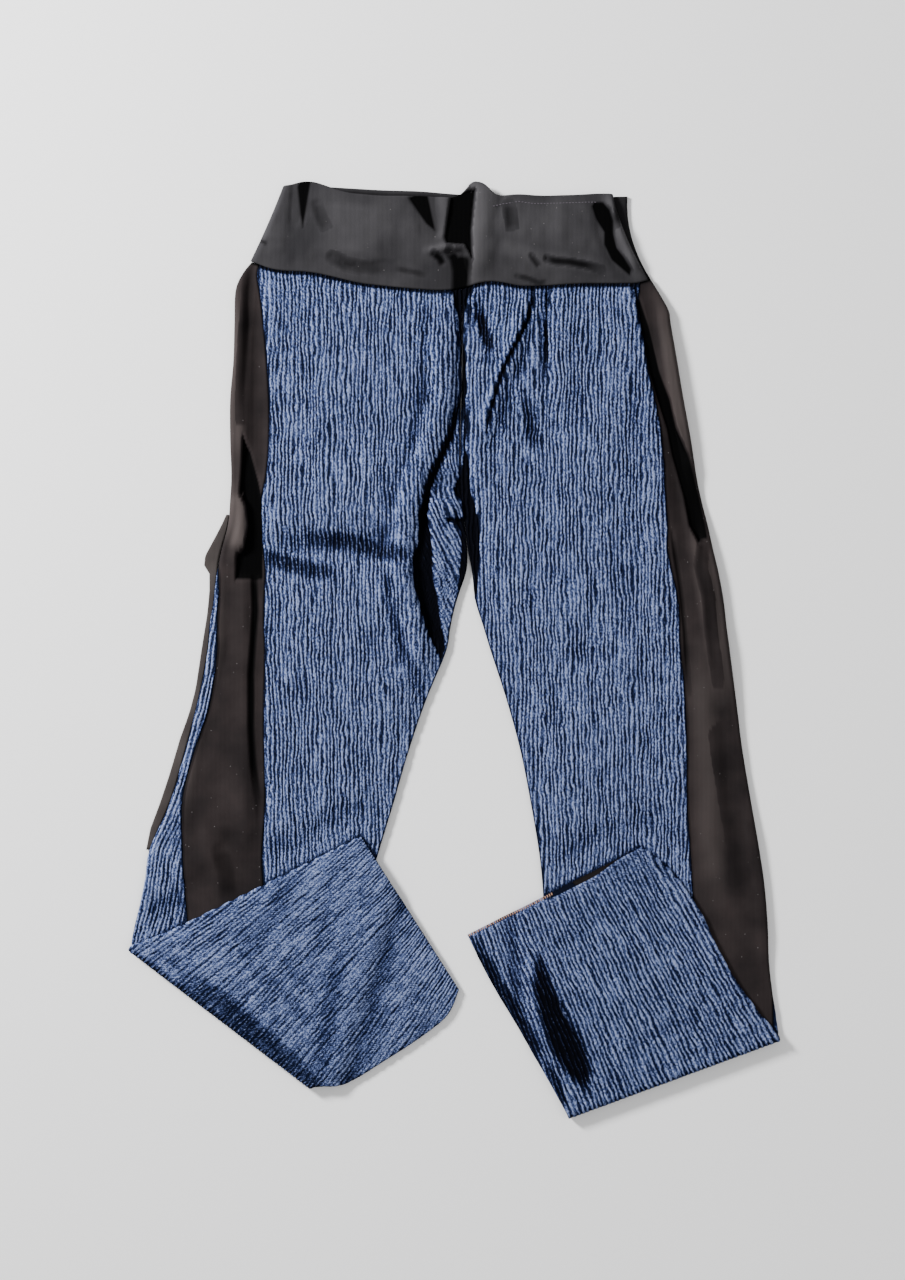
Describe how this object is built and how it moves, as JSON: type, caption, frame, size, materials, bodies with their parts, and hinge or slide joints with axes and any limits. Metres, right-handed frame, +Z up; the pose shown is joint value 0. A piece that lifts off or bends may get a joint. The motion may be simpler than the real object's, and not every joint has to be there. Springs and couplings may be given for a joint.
{
  "type": "pull-on trousers",
  "caption": "Pull-on trousers laid flat: crinkled fronts and backs, plain dark side panels, a deep waistband, and lower legs folded up over the shins.",
  "frame": {"origin": "centre of the laid garment's bounding box, on the surface that it lies on", "axes": "+Y towards the waist, +X to the right as seen from above, +Z up off the surface"},
  "size_m": [0.6176, 0.8888, 0.0143],
  "materials": {
    "crinkle_cloth": "matte crinkled cotton, indigo valleys and light blue rib crests",
    "black_jersey": "matte stretch jersey, off-black with a faint warm nap"
  },
  "bodies": {
    "root": {"waistband_front": "black_jersey", "waistband_back": "black_jersey", "front_leg_left": "crinkle_cloth", "front_leg_right": "crinkle_cloth", "back_leg_left": "crinkle_cloth", "back_leg_right": "crinkle_cloth", "side_panel_left": "black_jersey", "side_panel_left_tuck": "black_jersey", "side_panel_right": "black_jersey"}
  },
  "joints": []
}
